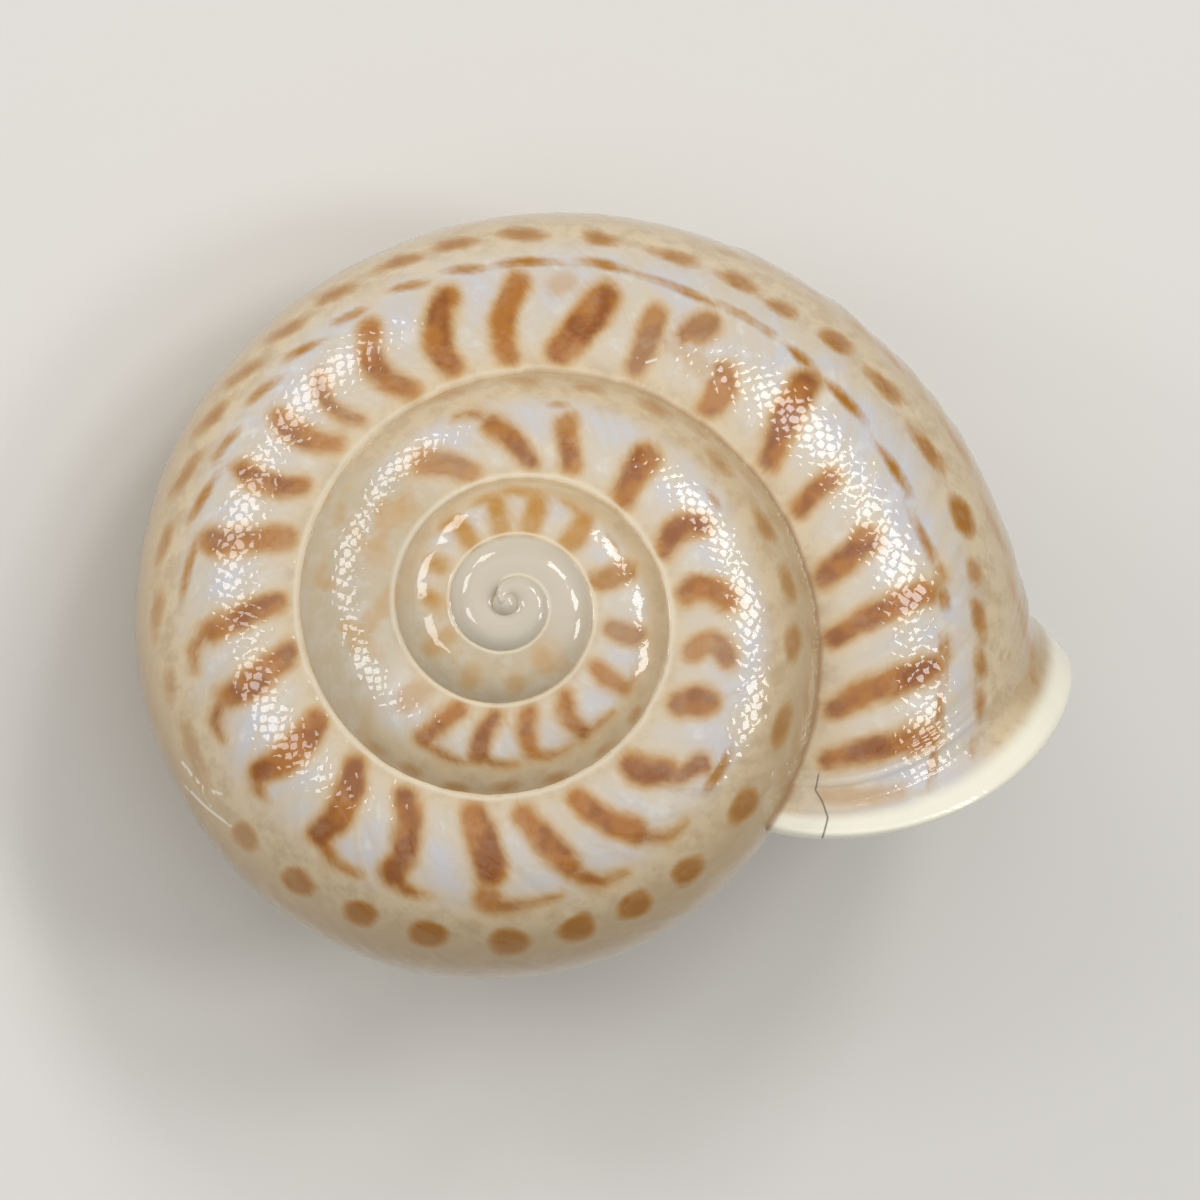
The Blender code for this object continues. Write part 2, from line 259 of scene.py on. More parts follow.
# turns of all rows, with how far each has rounded off at the tip (0 to 1) and at the lip (0 to 1)
def growthRows():
    bud = [(-0.16 * math.cos(step * math.pi / 12), math.sin(step * math.pi / 12), 0.0) for step in range(6)]
    end = growth["lastTurn"] - 0.005
    inner = [np.linspace(start, stop, count, endpoint=False) for start, stop, count in relief["rows"]]
    inner = np.concatenate(inner + [np.linspace(relief["rows"][-1][1], end, relief["lipRows"])])
    rim = [step * 0.5 * math.pi / relief["rimRows"] for step in range(1, relief["rimRows"])]
    return (bud + [(turn, 1.0, 0.0) for turn in inner]
            + [(end + 0.005 * math.sin(beta), 1.0, 1.0 - math.cos(beta)) for beta in rim])


def growthTrack(number):  # random values between -1 and 1 along the growth
    return np.random.default_rng(relief["seed"] + number).uniform(-1.0, 1.0, relief["trackSteps"])


def whorlSize(outer):  # 1 on the last whorl, less towards the tip
    return np.clip(outer / (relief["fullSizeMm"] * mm), relief["leastSize"], 1.0)


def threadShape(seamMm, size):  # 1 on the crest of the raised thread beside the seam
    spread = size ** 0.5
    return np.exp(-((seamMm - relief["threadAtMm"] * spread) / (relief["threadWidthMm"] * spread)) ** 2)


def reliefAt(turn, seamMm, angle, tracks):  # outward offset of the outer side, in metres
    size = whorlSize(radius(turn))
    grown = ease((turn - 1.3) / 0.8)
    lasts = ease((relief["threadEndsTurn"] + 0.2 - turn) / 0.4)
    thread = relief["threadMm"] * threadShape(seamMm, size)
    fade = ease(seamMm / (0.8 * size))
    nearLip = 1.0 + 1.5 * ease((turn - 4.45) / 0.1)
    lines = relief["lineMm"] * (tracks[0] + 0.7 * tracks[1]) * fade * grown * nearLip
    dents = relief["dentMm"] * tracks[2] * fade * np.cos(angle * 1.5) ** 2 * grown
    toLip = (growth["lastTurn"] - turn) * fullTurn * radius(turn) / mm
    groove = sum(-relief["lipGrooveDeepMm"] * np.exp(-((toLip - at) / relief["lipGrooveWideMm"]) ** 2)
                 for at in relief["lipGroovesMm"])
    outward = np.exp(-((np.degrees(angle) + 8.0) / 30.0) ** 2)
    for at, high in relief["flakes"]:
        step = np.exp(-np.maximum(turn - at, 0.0) / 0.014) * ease((turn - at) / 0.004 + 1.0)
        lines = lines + high * step * outward
    return (thread * lasts * (0.45 + 0.55 * grown) * size ** 0.5 + lines + dents * size + groove * fade) * mm


def seamAngle(turn):  # where a row comes out of the older whorl, in degrees on its section
    budDeg, metDeg = growth["firstSeamDeg"]
    local = turn - lag(fineAngles)
    out, height = sectionPoint(local, fineAngles, 0.0)
    degrees = np.degrees(fineAngles)
    sunk = isInside(local - 1.0, out, height, 0.0) & (degrees > growth["sunkTopDeg"])
    sunkDeg = degrees[np.where(sunk)[0][-1]] if sunk.any() else metDeg
    return budDeg + (sunkDeg - budDeg) * float(ease((turn - 1.02) / 0.16))


def buildShell():
    rows = growthRows()
    outerCount = relief["outerColumns"]
    innerCount = relief["innerColumns"]
    count = outerCount + innerCount
    tracks = [growthTrack(number) for number in range(3)]
    points = np.zeros((len(rows), count, 3))
    # growth turn, mm from seam, section angle, outer side, bearing turn, mm below edge, radius
    facts = np.zeros((len(rows), count, 7))
    for number, (turn, budShare, rimShare) in enumerate(rows):
        outerAngles, fromSeam = rowAngles(turn, 0.0, outerCount, seamAngle(turn))
        innerAngles, _ = rowAngles(turn, float(wall(turn)), innerCount)
        innerAngles = innerAngles[::-1]
        scales = (radius(turn) / mm * 1.5, radius(turn) / mm * 0.55, 0.7)
        track = [np.interp(45.0 * turn * scale, np.arange(relief["trackSteps"]), values)
                 for scale, values in zip(scales, tracks)]
        offset = reliefAt(turn, fromSeam / mm, outerAngles, track)
        for side, angles in ((1, outerAngles), (0, innerAngles)):
            where = turn - lag(angles) * ease((turn - 0.2) / 0.8)
            turned = flare(turn, angles) * growth["flareMm"] * mm
            extra = growth["lipExtraMm"] * mm * flare(turn, angles)
            full = wall(turn) + extra
            rounding = 0.5 * full * rimShare
            inset = rounding - turned if side else full - rounding - turned
            out, height = sectionPoint(where, angles, inset)
            if side:
                ahead, rise = sectionPoint(where, angles - 0.01, inset)
                run = ahead - out
                climb = rise - height
                length = np.hypot(run, climb) + 1e-12
                out = out - climb / length * offset * (1.0 - rimShare)
                height = height + run / length * offset * (1.0 - rimShare)
            middle = radius(turn) * (1.0 - growth["halfWidth"])
            centre = edgeHeight(turn)
            out = middle + (out - middle) * budShare
            height = centre + (height - centre) * budShare
            bearing = math.pi - fullTurn * where
            span = slice(0, outerCount) if side else slice(outerCount, count)
            points[number, span, 0] = out * np.cos(bearing)
            points[number, span, 1] = out * np.sin(bearing)
            points[number, span, 2] = height
            facts[number, span, 0] = turn
            facts[number, span, 1] = fromSeam / mm if side else 5.0
            facts[number, span, 2] = np.degrees(angles)
            facts[number, span, 3] = side
            facts[number, span, 4] = where
            facts[number, span, 6] = radius(turn)
            length = np.concatenate(([0.0], np.cumsum(np.hypot(np.diff(out), np.diff(height))))) / mm
            length = length if side else length[-1] - length
            order = np.argsort(-angles)
            facts[number, span, 5] = length - np.interp(0.0, -angles[order], length[order])
    return points, facts


print("shell sections ready")


# where the markings lie, as seen looking down on the tip: degrees of growth counted on from one whorl
# before the lip (negative is further in) and millimetres from the tip
markings = dict(
    lookTiltDeg=11.5,
    lookLeanDeg=3.0,
    centreMm=(-0.10, -0.16),
    softMm=0.05,  # soft edges eat this much of a flame
    # flame: three places from its inner to its outer end, where its hook ends, width mm, strength
    flames=(
        ((14, 5.25), (11, 5.9), (14, 6.5), None, 0.72, 0.85),
        ((30, 5.45), (27, 5.9), (25.5, 6.4), None, 0.85, 0.95),
        ((52, 5.5), (49, 6.2), (46, 6.6), None, 0.85, 1.0),
        ((45, 6.7), (40.5, 6.95), (39, 7.25), None, 0.55, 0.9),
        ((69.5, 5.65), (65.5, 6.5), (60, 7.5), (50, 7.9), 0.75, 1.0),
        ((84.5, 5.75), (79.5, 6.8), (76, 7.7), (65, 8.2), 0.78, 1.0),
        ((98.5, 5.75), (94.5, 6.8), (93, 7.6), None, 0.95, 1.0),
        ((93.5, 8.05), (93.5, 8.25), (93.5, 8.45), (79, 8.25), 0.8, 0.95),
        ((117, 5.9), (112.5, 7.1), (112.5, 8.2), (104, 8.4), 0.8, 1.0),
        ((133, 5.95), (128.5, 7.3), (129, 8.3), (118.5, 8.6), 0.85, 1.0),
        ((148.5, 6.0), (145, 7.3), (145.5, 8.4), (140.5, 8.6), 0.82, 1.0),
        ((167.5, 6.0), (163, 7.3), (161.5, 8.3), (154, 8.75), 0.78, 0.95),
        ((180, 6.25), (177.5, 7.3), (174.5, 8.4), (168, 8.85), 0.75, 0.95),
        ((197, 6.25), (194, 7.3), (192, 8.5), None, 0.78, 0.9),
        ((210, 6.45), (207.3, 7.3), (207, 8.35), None, 0.68, 0.95),
        ((223, 6.4), (219.8, 7.3), (219.5, 8.35), None, 0.68, 0.9),
        ((232, 6.45), (229, 7.1), (230.5, 8.3), None, 0.42, 0.85),
        ((246, 6.4), (241.7, 7.3), (244, 8.7), None, 0.75, 0.95),
        ((257.5, 6.6), (255.5, 7.6), (259.5, 8.9), None, 0.78, 1.0),
        ((270.8, 6.8), (269.5, 7.7), (272.5, 9.1), None, 0.75, 1.0),
        ((282.5, 7.1), (285.5, 8.1), (288, 9.2), None, 1.05, 1.0),
        ((279, 8.9), (280, 9.1), (281, 9.25), None, 0.5, 0.4),
        ((299, 7.45), (298.7, 8.2), (297.5, 9.2), None, 0.75, 0.85),
        ((304, 8.95), (305, 9.35), (306, 9.8), None, 0.75, 0.85),
        ((303, 8.55), (308, 8.6), (313, 8.75), None, 0.5, 0.35),
        ((316, 7.8), (315.3, 8.4), (313, 9.0), None, 0.85, 0.9),
        ((331.5, 8.25), (326.5, 9.4), (323.5, 10.6), None, 0.85, 1.0),
        ((342, 8.55), (340, 9.2), (338.8, 9.85), None, 0.65, 1.0),
        ((355, 8.8), (352.5, 9.6), (350, 10.4), None, 0.85, 1.0),
        ((366, 9.1), (361.5, 10.4), (358.5, 11.9), (355, 12.2), 0.68, 1.0),
        ((377.5, 9.5), (372.5, 10.7), (368.7, 12.2), (364.5, 12.4), 0.75, 1.0),
        ((385.5, 9.85), (381, 11.2), (377.5, 12.5), None, 0.72, 1.0),
        ((391, 10.35), (388, 11.4), (385.5, 12.3), None, 0.42, 0.5),
        ((-104, 3.65), (-112, 4.15), (-120, 4.7), None, 0.65, 0.8),
        ((-80, 3.9), (-88, 4.6), (-94, 5.15), (-105, 5.4), 0.6, 0.95),
        ((-64, 4.15), (-69, 4.9), (-71, 5.45), None, 0.62, 0.95),
        ((-42, 4.3), (-45.5, 5.15), (-46, 5.85), None, 0.8, 1.0),
        ((-19, 4.55), (-23.5, 5.3), (-22, 6.0), None, 0.7, 1.0),
        ((-3, 4.9), (-4.5, 5.6), (-1, 6.3), None, 0.75, 1.0),
        ((-347, 2.95), (-346, 3.4), (-347, 3.9), None, 0.6, 0.8),
        ((-325, 3.0), (-324.5, 3.6), (-325, 4.1), (-331, 4.15), 0.55, 0.9),
        ((-303.5, 2.95), (-299.5, 3.7), (-302, 4.25), (-315, 4.25), 0.55, 1.0),
        ((-283, 2.95), (-279.5, 3.7), (-280, 4.25), (-294, 4.4), 0.55, 1.0),
        ((-265, 3.0), (-260.5, 3.8), (-260, 4.35), (-275, 4.45), 0.55, 1.0),
        ((-246, 3.1), (-241, 3.9), (-239, 4.45), (-257, 4.55), 0.6, 1.0),
        ((-226, 3.15), (-225.5, 3.5), (-225, 3.9), None, 0.6, 0.5),
        ((-159, 3.6), (-159, 3.8), (-159, 4.0), None, 0.5, 0.35),
        ((-134, 3.65), (-134, 3.85), (-134, 4.05), None, 0.5, 0.4),
        ((-664, 1.7), (-664, 1.9), (-664, 2.15), None, 0.45, 0.5),
        ((-638, 2.1), (-638, 2.3), (-638, 2.45), None, 0.4, 0.5),
        ((-605, 1.95), (-605, 2.2), (-605, 2.5), None, 0.45, 0.5),
        ((-570, 1.7), (-570, 2.1), (-570, 2.5), None, 0.45, 0.6),
        ((-536, 1.85), (-536, 2.0), (-536, 2.15), None, 0.4, 1.0),
        ((-509, 1.95), (-509, 2.2), (-509, 2.4), None, 0.46, 0.9),
        ((-479, 1.8), (-479, 2.2), (-480, 2.65), (-490, 2.75), 0.46, 1.0),
        ((-454, 2.05), (-454, 2.45), (-455, 2.9), (-466, 2.95), 0.46, 1.0),
        ((-431, 2.1), (-431, 2.6), (-433, 3.1), (-450, 3.15), 0.5, 1.0),
        ((-404, 2.35), (-404, 2.8), (-406, 3.25), (-420, 3.3), 0.55, 1.0),
        ((-374, 2.5), (-374, 3.0), (-375, 3.6), None, 0.55, 1.0),
    ),
    # rows of dashes along the whorl; dash: degrees, mm from the tip, length mm, thickness mm, strength
    rows=(
        (
            (-320, 4.75, 0.7, 0.28, 0.6), (-304, 4.9, 0.75, 0.28, 0.65), (-287, 5.05, 0.75, 0.3, 0.65),
            (-270, 5.1, 0.75, 0.3, 0.65), (-256, 5.25, 0.75, 0.3, 0.65), (-241, 5.3, 0.7, 0.3, 0.6),
            (-229, 5.35, 0.65, 0.28, 0.5), (-106, 6.05, 0.95, 0.3, 0.55), (-85, 6.25, 0.95, 0.32, 0.6),
            (-68.5, 6.5, 1.0, 0.34, 0.6), (-53, 6.85, 1.05, 0.36, 0.65), (-34, 7.2, 1.1, 0.38, 0.65),
            (-17, 7.55, 1.15, 0.42, 0.7), (-4, 7.9, 1.05, 0.44, 0.7), (8, 8.1, 1.1, 0.5, 0.7),
            (24, 8.42, 1.4, 0.48, 0.8), (40.5, 8.7, 1.25, 0.68, 0.9), (55.5, 9.0, 1.1, 0.74, 0.95),
            (66.7, 9.12, 1.1, 0.76, 0.95), (77.5, 9.25, 1.1, 0.8, 0.95), (89, 9.42, 1.25, 0.8, 0.95),
            (103, 9.45, 1.15, 0.76, 1.0), (115, 9.52, 1.05, 0.72, 1.0), (126.5, 9.65, 1.05, 0.72, 0.95),
            (138, 9.73, 1.0, 0.66, 0.7), (154, 9.65, 2.1, 0.5, 0.4), (166, 9.65, 1.1, 0.4, 0.5),
            (179, 9.72, 1.5, 0.38, 0.75), (189.5, 9.7, 1.4, 0.36, 0.8), (201.5, 9.7, 1.6, 0.36, 0.8),
            (212.5, 9.73, 1.55, 0.36, 0.85), (221.5, 9.78, 1.35, 0.36, 0.85),
            (231.5, 9.82, 1.3, 0.38, 0.9), (241, 9.95, 1.3, 0.4, 0.95), (252.5, 10.05, 1.35, 0.4, 1.0),
            (262, 10.2, 1.2, 0.4, 1.0), (272.5, 10.38, 1.35, 0.4, 1.0), (284.5, 10.6, 1.1, 0.42, 1.0),
            (295.5, 10.82, 1.4, 0.42, 0.9), (306, 11.15, 1.3, 0.42, 0.9), (313, 11.35, 1.1, 0.42, 0.85),
            (321.5, 11.85, 1.1, 0.56, 0.95), (330, 12.25, 1.5, 0.5, 0.95), (340, 12.6, 1.7, 0.44, 0.9),
            (349, 13.03, 1.35, 0.6, 1.0), (356, 13.15, 0.8, 0.44, 0.8), (361.5, 13.25, 1.3, 0.44, 0.9),
            (367, 13.4, 0.9, 0.42, 0.85), (372, 13.58, 1.0, 0.36, 0.8), (377, 13.7, 0.8, 0.3, 0.6),
        ),
        (
            (186.5, 8.9, 1.75, 0.28, 1.0), (199.5, 8.95, 1.5, 0.28, 1.0), (210, 9.0, 1.05, 0.28, 0.95),
            (221, 9.05, 1.2, 0.3, 0.95), (231.5, 9.1, 1.2, 0.28, 1.0), (241, 9.17, 1.05, 0.28, 1.0),
            (252.5, 9.32, 1.25, 0.3, 1.0), (262.5, 9.45, 1.3, 0.28, 1.0), (274.2, 9.6, 1.95, 0.28, 1.0),
            (286.2, 9.9, 1.65, 0.28, 1.0), (299.5, 10.1, 2.2, 0.26, 0.95), (311, 10.5, 1.8, 0.24, 0.85),
            (320, 10.75, 1.1, 0.32, 1.0), (329, 11.1, 1.6, 0.34, 1.0), (340.5, 11.5, 1.8, 0.3, 1.0),
            (351, 11.85, 1.6, 0.3, 0.9), (359, 12.25, 0.8, 0.4, 0.9), (367, 12.35, 1.3, 0.3, 1.0),
            (374, 12.52, 1.2, 0.3, 0.95), (380, 12.75, 1.7, 0.3, 0.9),
        ),
        (
            (303.5, 11.72, 1.3, 0.13, 0.9), (315, 12.35, 0.8, 0.12, 0.7), (327, 12.85, 2.0, 0.17, 0.9),
            (340, 13.45, 2.2, 0.2, 1.0), (351.5, 13.95, 1.9, 0.17, 0.9), (359.5, 14.35, 1.2, 0.17, 0.9),
            (364, 14.7, 1.2, 0.18, 1.0), (368, 15.0, 1.0, 0.2, 1.0),
        ),
        (
            (-75, 5.75, 0.6, 0.22, 0.7), (-27, 6.5, 0.7, 0.24, 0.8), (38, 7.55, 1.35, 0.34, 0.95),
        ),
        (
            (-390, 3.45, 0.5, 0.16, 0.8), (-389, 3.45, 0.5, 0.16, 0.8),
        ),
    ),
    # how far a dash slants off its row: degrees, rise for each mm of length
    slants=((0, 0.0), (140, 0.0), (165, -0.2), (235, -0.2), (275, -0.05), (310, 0.0), (350, 0.08)),
    # rows of dashes that go on over the base: mm below the outer edge, thickness mm, strength
    baseRows=((0.9, 0.3, 0.85), (2.5, 0.26, 0.55), (4.2, 0.24, 0.4), (6.1, 0.22, 0.25)),
    baseStepDeg=11.5,
    baseDashMm=1.1,
    # scratches, and the crack in the lip, as places in the same degrees and millimetres
    scratches=(
        ((141, 9.84), (146, 10.1), (151, 10.3)), ((150, 9.9), (154, 10.05)), ((146, 9.5), (148, 9.75)),
        ((300.2, 7.8), (301.8, 8.05)),
    ),
    cracks=(((388.5, 9.95), (391, 10.1), (391.8, 10.4), (393.5, 10.8), (396.5, 11.0)),),
)


def asSeenFromAbove(points):  # degrees clockwise and millimetres from the tip, looking down on the shell
    tilt = math.radians(markings["lookTiltDeg"])
    lean = math.radians(markings["lookLeanDeg"])
    right = np.array((math.cos(lean), math.sin(lean) * math.sin(tilt), -math.sin(lean) * math.cos(tilt)))
    up = np.array((0.0, math.cos(tilt), math.sin(tilt)))
    x = points @ right / mm - markings["centreMm"][0]
    y = points @ up / mm - markings["centreMm"][1]
    return np.degrees(np.arctan2(-y, x)), np.hypot(x, y)


def capsule(x, y, start, end, startHalf, endHalf):
    along = (end[0] - start[0], end[1] - start[1])
    forward = (x - start[0]) * along[0] + (y - start[1]) * along[1]
    share = np.clip(forward / (along[0] ** 2 + along[1] ** 2), 0, 1)
    return (np.hypot(x - start[0] - share * along[0], y - start[1] - share * along[1])
            - startHalf - (endHalf - startHalf) * share)


def paint(markingDistance, markingTone, near, distance, tone):
    closer = distance < markingDistance[near]
    chosen = near[closer]
    markingDistance[chosen] = distance[closer]
    markingTone[chosen] = tone


def flat(place, fromDeg):  # a place on the shell as millimetres along the whorl and out from the tip
    return (math.radians(place[0] - fromDeg) * place[1], place[1])


# distance to one flame: a bent bar through three places, with a tail to where its hook ends
def drawFlame(x, y, places, hook, half, chance):
    inner, middle, outer = [flat(place, places[0][0]) for place in places]
    inner = (inner[0], inner[1] + 0.35 * half)
    outer = (outer[0], outer[1] - 0.3 * half)
    share = (middle[1] - inner[1]) / (outer[1] - inner[1])
    share = min(max(share, 0.3), 0.7)
    widths = (0.86 * half, half * chance.uniform(0.92, 1.06), half * chance.uniform(0.82, 1.0))
    steps = 7
    found = np.full(len(x), 9.0)
    path = []
    for step in range(steps + 1):
        t = step / steps
        first = (t - share) * (t - 1.0) / share
        second = t * (t - 1.0) / (share * (share - 1.0))
        third = t * (t - share) / (1.0 - share)
        path.append(tuple(first * a + second * b + third * c for a, b, c in
                          ((inner[0], middle[0], outer[0]), (inner[1], middle[1], outer[1]), widths)))
    for start, end in zip(path, path[1:]):
        found = np.minimum(found, capsule(x, y, start, end, start[2], end[2]))
    if hook is not None:
        tail = flat(hook, places[0][0])
        bend = (0.5 * (tail[0] + path[-1][0]), max(tail[1], path[-1][1] + 0.2 * half))
        corner = (path[-1][0], path[-1][1] + 0.25 * half)
        found = np.minimum(found, capsule(x, y, corner, bend, 0.5 * half, 0.4 * half))
        found = np.minimum(found, capsule(x, y, bend, tail, 0.4 * half, 0.2 * half))
    return found


# signed distance across the nearest of several fine lines, and how far along it (0 to 1)
def drawLines(lines, degrees, distance, shown):
    across = np.full(len(degrees), 3.0)
    along = np.full(len(degrees), -1.0)
    for line in lines:
        middle = 0.5 * (line[0][0] + line[-1][0])
        near = np.where(shown & (np.abs(degrees - middle) < 12.0))[0]
        x = np.radians(degrees[near] - middle) * distance[near]
        y = distance[near]
        path = [flat(place, middle) for place in line]
        lengths = [math.dist(start, end) for start, end in zip(path, path[1:])]
        done = 0.0
        for number, (start, end) in enumerate(zip(path, path[1:])):
            run = ((end[0] - start[0]) / lengths[number], (end[1] - start[1]) / lengths[number])
            forward = (x - start[0]) * run[0] + (y - start[1]) * run[1]
            low = -9.0 if number == 0 else 0.0
            high = 9.0 if number == len(lengths) - 1 else lengths[number]
            held = np.clip(forward, low, high)
            gap = np.hypot(x - start[0] - held * run[0], y - start[1] - held * run[1])
            side = np.sign((x - start[0]) * run[1] - (y - start[1]) * run[0])
            closer = gap < np.abs(across[near])
            across[near[closer]] = (gap * np.where(side == 0, 1.0, side))[closer]
            along[near[closer]] = ((done + held) / sum(lengths))[closer]
            done += lengths[number]
    return across, along


def drawFlames(degrees, distance, topSide, chance, flame, flameTone):
    for inner, middle, outer, hook, width, strength in markings["flames"]:
        close = (np.abs(degrees - middle[0]) < 40.0) & (np.abs(distance - middle[1]) < 4.0)
        near = np.where(topSide & close)[0]
        x = np.radians(degrees[near] - inner[0]) * distance[near]
        half = 0.5 * width + markings["softMm"]
        found = drawFlame(x, distance[near], (inner, middle, outer), hook, half, chance)
        paint(flame, flameTone, near, found, strength)


def drawDashes(degrees, distance, topSide, chance, dash, dashTone):
    slants = list(zip(*markings["slants"]))
    for row in markings["rows"]:
        centres = np.array([item[0] for item in row])
        heights = np.array([item[1] for item in row])
        slopes = np.gradient(heights, np.radians(centres)) / heights
        for (centre, start, length, thickness, strength), slope in zip(row, slopes):
            close = (np.abs(degrees - centre) < 25.0) & (np.abs(distance - start) < 3.0)
            near = np.where(topSide & close)[0]
            x = np.radians(degrees[near] - centre) * distance[near]
            half = 0.5 * length
            rise = slope + np.interp(centre, *slants) + chance.uniform(-0.03, 0.03)
            y = distance[near] - start - rise * x
            thick = 0.5 * thickness * (1.0 + 0.25 * chance.uniform(-1.0, 1.0) * np.clip(x / half, -1.0, 1.0))
            found = ((np.abs(x) / half) ** 2.2 + (np.abs(y) / thick) ** 2.2) ** (1.0 / 2.2)
            paint(dash, dashTone, near, (found - 1.0) * thick, strength)


def drawBaseDashes(facts, grown, topSide, dash, dashTone):
    under = np.where(~topSide & (facts[:, 0] > 2.5))[0]
    below = facts[under, 5]
    step = markings["baseStepDeg"]
    for row, (mmBelow, thickness, strength) in enumerate(markings["baseRows"]):
        place = (grown[under] + 3.0 * row) / step
        number = np.round(place)
        jitter = np.sin(number * 12.9898 + row * 4.1) * 0.16
        size = 0.75 + 0.25 * np.sin(number * 7.233 + row * 2.7)
        alongMm = np.radians(place - number - jitter) * step * radius(facts[under, 0]) / mm * 0.85
        beyond = np.maximum(np.abs(alongMm) - 0.5 * markings["baseDashMm"] * size, 0.0)
        found = np.hypot(beyond, below - mmBelow - 0.3 * jitter) - 0.5 * thickness
        paint(dash, dashTone, under, found, strength)


# distance in mm to the edge of the nearest flame and dash, negative inside it, with its strength,
# and then the same for the fine lines
def drawMarkings(points, facts):
    spots = points.reshape(-1, 3)
    facts = facts.reshape(-1, facts.shape[-1])
    degrees, distance = asSeenFromAbove(spots)
    grown = facts[:, 4] * 360.0 - 1260.0  # counted on from one whorl before the lip
    degrees = degrees + 360.0 * np.round((grown - degrees) / 360.0)
    topSide = facts[:, 2] > -14.0
    flame = np.full(len(spots), 3.0)
    flameTone = np.ones(len(spots))
    dash = np.full(len(spots), 3.0)
    dashTone = np.ones(len(spots))
    chance = random.Random(7)
    drawFlames(degrees, distance, topSide, chance, flame, flameTone)
    drawDashes(degrees, distance, topSide, chance, dash, dashTone)
    drawBaseDashes(facts, grown, topSide, dash, dashTone)
    shown = topSide & (facts[:, 3] > 0.5)
    scratches = drawLines(markings["scratches"], degrees, distance, shown)
    cracks = drawLines(markings["cracks"], degrees, distance, shown)
    return (flame, flameTone, dash, dashTone) + scratches + cracks


# what each vertex keeps for the material: where it lies on the shell, and how far the markings are
growthNames = ("turn", "seamMm", "outerSide", "edgeMm", "seamShare", "threadPart", "lipMm")
markingNames = ("flameMm", "flameTone", "dashMm", "dashTone",
                "scratchMm", "scratchShare", "crackMm", "crackShare")


def growthValues(facts):
    turn, seamMm, _, outerSide, _, edgeMm, outer = np.moveaxis(facts, -1, 0)
    ends = np.clip((relief["threadEndsTurn"] + 0.2 - turn) / 0.4, 0.0, 1.0)
    threadPart = outerSide * ends * threadShape(seamMm, whorlSize(outer))
    lipMm = (growth["lastTurn"] - turn) * fullTurn * outer / mm
    return turn, seamMm, outerSide, edgeMm, seamMm * mm / outer, threadPart, lipMm


def closeEnds(bm, outerSide):
    chains = [edge for edge in bm.edges
              if edge.is_boundary and edge.verts[0][outerSide] == edge.verts[1][outerSide]]
    bmesh.ops.bridge_loops(bm, edges=chains)
    bmesh.ops.recalc_face_normals(bm, faces=bm.faces[:])
    if bm.calc_volume(signed=True) < 0:
        bmesh.ops.reverse_faces(bm, faces=bm.faces[:])


def meshFromRows(points, facts, marks):
    rowCount, count = points.shape[:2]
    bm = bmesh.new()
    bmesh.ops.create_grid(bm, x_segments=count, y_segments=rowCount - 1, size=0.5)
    layers = [bm.verts.layers.float.new(name) for name in growthNames + markingNames]
    growthMap = bm.loops.layers.uv.new("growth")
    skinMap = bm.loops.layers.uv.new("skin")
    steps = np.diff(facts[:, 0, 0]) * fullTurn * 0.8 * radius(facts[1:, 0, 0]) / mm
    alongMm = np.concatenate(([0.0], np.cumsum(steps)))
    squareMm = np.interp(facts[:, :, 4], facts[:, 0, 0], alongMm)  # doesn't slant with the growth lines
    values = np.stack(growthValues(facts) + tuple(mark.reshape(rowCount, count) for mark in marks), axis=-1)
    for vertex in bm.verts:
        column = round((vertex.co.x + 0.5) * count) % count
        row = round((vertex.co.y + 0.5) * (rowCount - 1))
        for layer, value in zip(layers, values[row, column]):
            vertex[layer] = value
        edgeMm = facts[row, column, 5]
        for loop in vertex.link_loops:
            loop[growthMap].uv = (alongMm[row], edgeMm)
            loop[skinMap].uv = (squareMm[row, column], edgeMm)
        vertex.co = points[row, column]
    bmesh.ops.remove_doubles(bm, verts=bm.verts[:], dist=1e-9)
    closeEnds(bm, bm.verts.layers.float["outerSide"])
    mesh = bpy.data.meshes.new("snailShell")
    bm.to_mesh(mesh)
    bm.free()
    mesh.shade_smooth()
    made = bpy.data.objects.new("snailShell", mesh)
    bpy.context.scene.collection.objects.link(made)
    return made


points, facts = buildShell()
marks = drawMarkings(points, facts)
laid = layDown(points.reshape(-1, 3)).reshape(points.shape)
snailShell = meshFromRows(laid, facts, marks)
print("shell built")


def linear(hexColour):  # sRGB hex to the linear colour that nodes take
    channels = [int(hexColour[i:i + 2], 16) / 255.0 for i in (1, 3, 5)]
    return tuple(c / 12.92 if c <= 0.04045 else ((c + 0.055) / 1.055) ** 2.4 for c in channels) + (1.0,)


def addNode(tree, kind, values=(), links=(), **settings):
    made = tree.nodes.new(kind)
    for name, value in settings.items():
        setattr(made, name, value)
    for socket, value in dict(values).items():
        made.inputs[socket].default_value = value
    for socket, source in dict(links).items():
        tree.links.new(source, made.inputs[socket])
    return made


